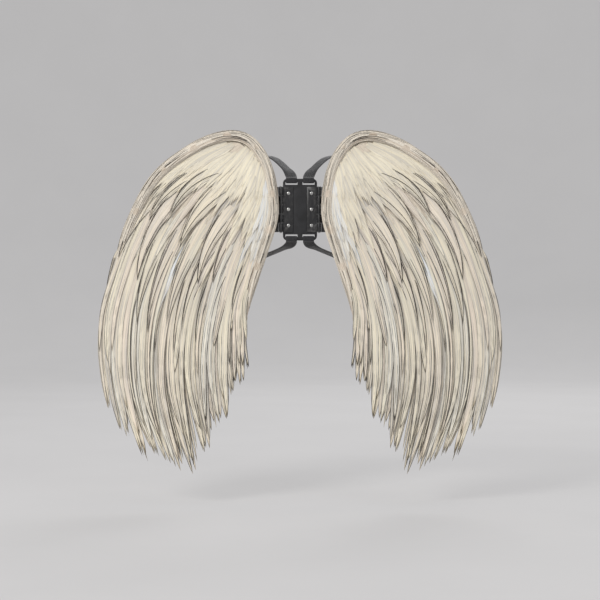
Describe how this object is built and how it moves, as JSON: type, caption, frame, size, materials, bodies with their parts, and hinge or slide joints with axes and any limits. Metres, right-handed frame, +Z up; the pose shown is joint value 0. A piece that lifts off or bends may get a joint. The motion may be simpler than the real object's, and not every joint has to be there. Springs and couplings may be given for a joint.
{
  "type": "costume wings",
  "caption": "Feathered angel-type costume wings, folded shape, on a padded back plate with shoulder straps; each wing turns on a butt hinge.",
  "frame": {"origin": "middle of the pad face that rests on the wearer's back", "axes": "+Z up, +Y towards the wearer's chest, +X the wearer's right; the feathers' show side faces -Y"},
  "size_m": [0.792, 0.2341, 0.6806],
  "materials": {
    "feather": "matte",
    "rim_plush": "matte",
    "felt": "matte",
    "frame_wire": "satin",
    "boning": "satin",
    "hinge_steel": "satin",
    "pin_steel": "satin",
    "harness_plastic": "matte",
    "pad": "matte",
    "webbing": "matte"
  },
  "bodies": {
    "harness": {"back_plate": "harness_plastic", "back_pad": "pad", "right_plate_leaf": "hinge_steel", "right_hinge_pin": "pin_steel", "right_shoulder_strap": "webbing", "right_plate_rivet_top": "pin_steel", "right_plate_rivet_middle": "pin_steel", "right_plate_rivet_bottom": "pin_steel", "left_plate_leaf": "hinge_steel", "left_hinge_pin": "pin_steel", "left_shoulder_strap": "webbing", "left_plate_rivet_top": "pin_steel", "left_plate_rivet_middle": "pin_steel", "left_plate_rivet_bottom": "pin_steel"},
    "right_wing": {"right_wing_leaf": "hinge_steel", "right_root_block": "harness_plastic", "right_frame_wire": "frame_wire", "right_backing_panel": "felt", "right_rib_upper": "boning", "right_rib_middle": "boning", "right_rib_lower": "boning", "right_edge_roll": "rim_plush", "right_shoulder_cap": "rim_plush", "right_wing_rivet_top": "pin_steel", "right_wing_rivet_middle": "pin_steel", "right_wing_rivet_bottom": "pin_steel", "right_flight_feathers_rear": "feather", "right_flight_feathers_front": "feather", "right_secondary_feathers": "feather", "right_greater_coverts": "feather", "right_median_coverts": "feather", "right_lesser_coverts": "feather", "right_shoulder_coverts": "feather"},
    "right_adjuster": {"right_strap_adjuster": "harness_plastic"},
    "left_wing": {"left_wing_leaf": "hinge_steel", "left_root_block": "harness_plastic", "left_frame_wire": "frame_wire", "left_backing_panel": "felt", "left_rib_upper": "boning", "left_rib_middle": "boning", "left_rib_lower": "boning", "left_edge_roll": "rim_plush", "left_shoulder_cap": "rim_plush", "left_wing_rivet_top": "pin_steel", "left_wing_rivet_middle": "pin_steel", "left_wing_rivet_bottom": "pin_steel", "left_flight_feathers_rear": "feather", "left_flight_feathers_front": "feather", "left_secondary_feathers": "feather", "left_greater_coverts": "feather", "left_median_coverts": "feather", "left_lesser_coverts": "feather", "left_shoulder_coverts": "feather"},
    "left_adjuster": {"left_strap_adjuster": "harness_plastic"}
  },
  "joints": [
    {"name": "right_wing_fold", "type": "hinge", "parent": "harness", "child": "right_wing", "pos_m": [0.038, -0.0176, 0], "axis": [0, 0, -1], "range_deg": [0, 75]},
    {"name": "right_adjuster_slide", "type": "slide", "parent": "harness", "child": "right_adjuster", "axis": [-0.5835, -0.7849, 0.2084], "range_m": [0, 0.09]},
    {"name": "left_wing_fold", "type": "hinge", "parent": "harness", "child": "left_wing", "pos_m": [-0.038, -0.0176, 0], "axis": [0, 0, 1], "range_deg": [0, 75]},
    {"name": "left_adjuster_slide", "type": "slide", "parent": "harness", "child": "left_adjuster", "axis": [0.5835, -0.7849, 0.2084], "range_m": [0, 0.09]}
  ]
}
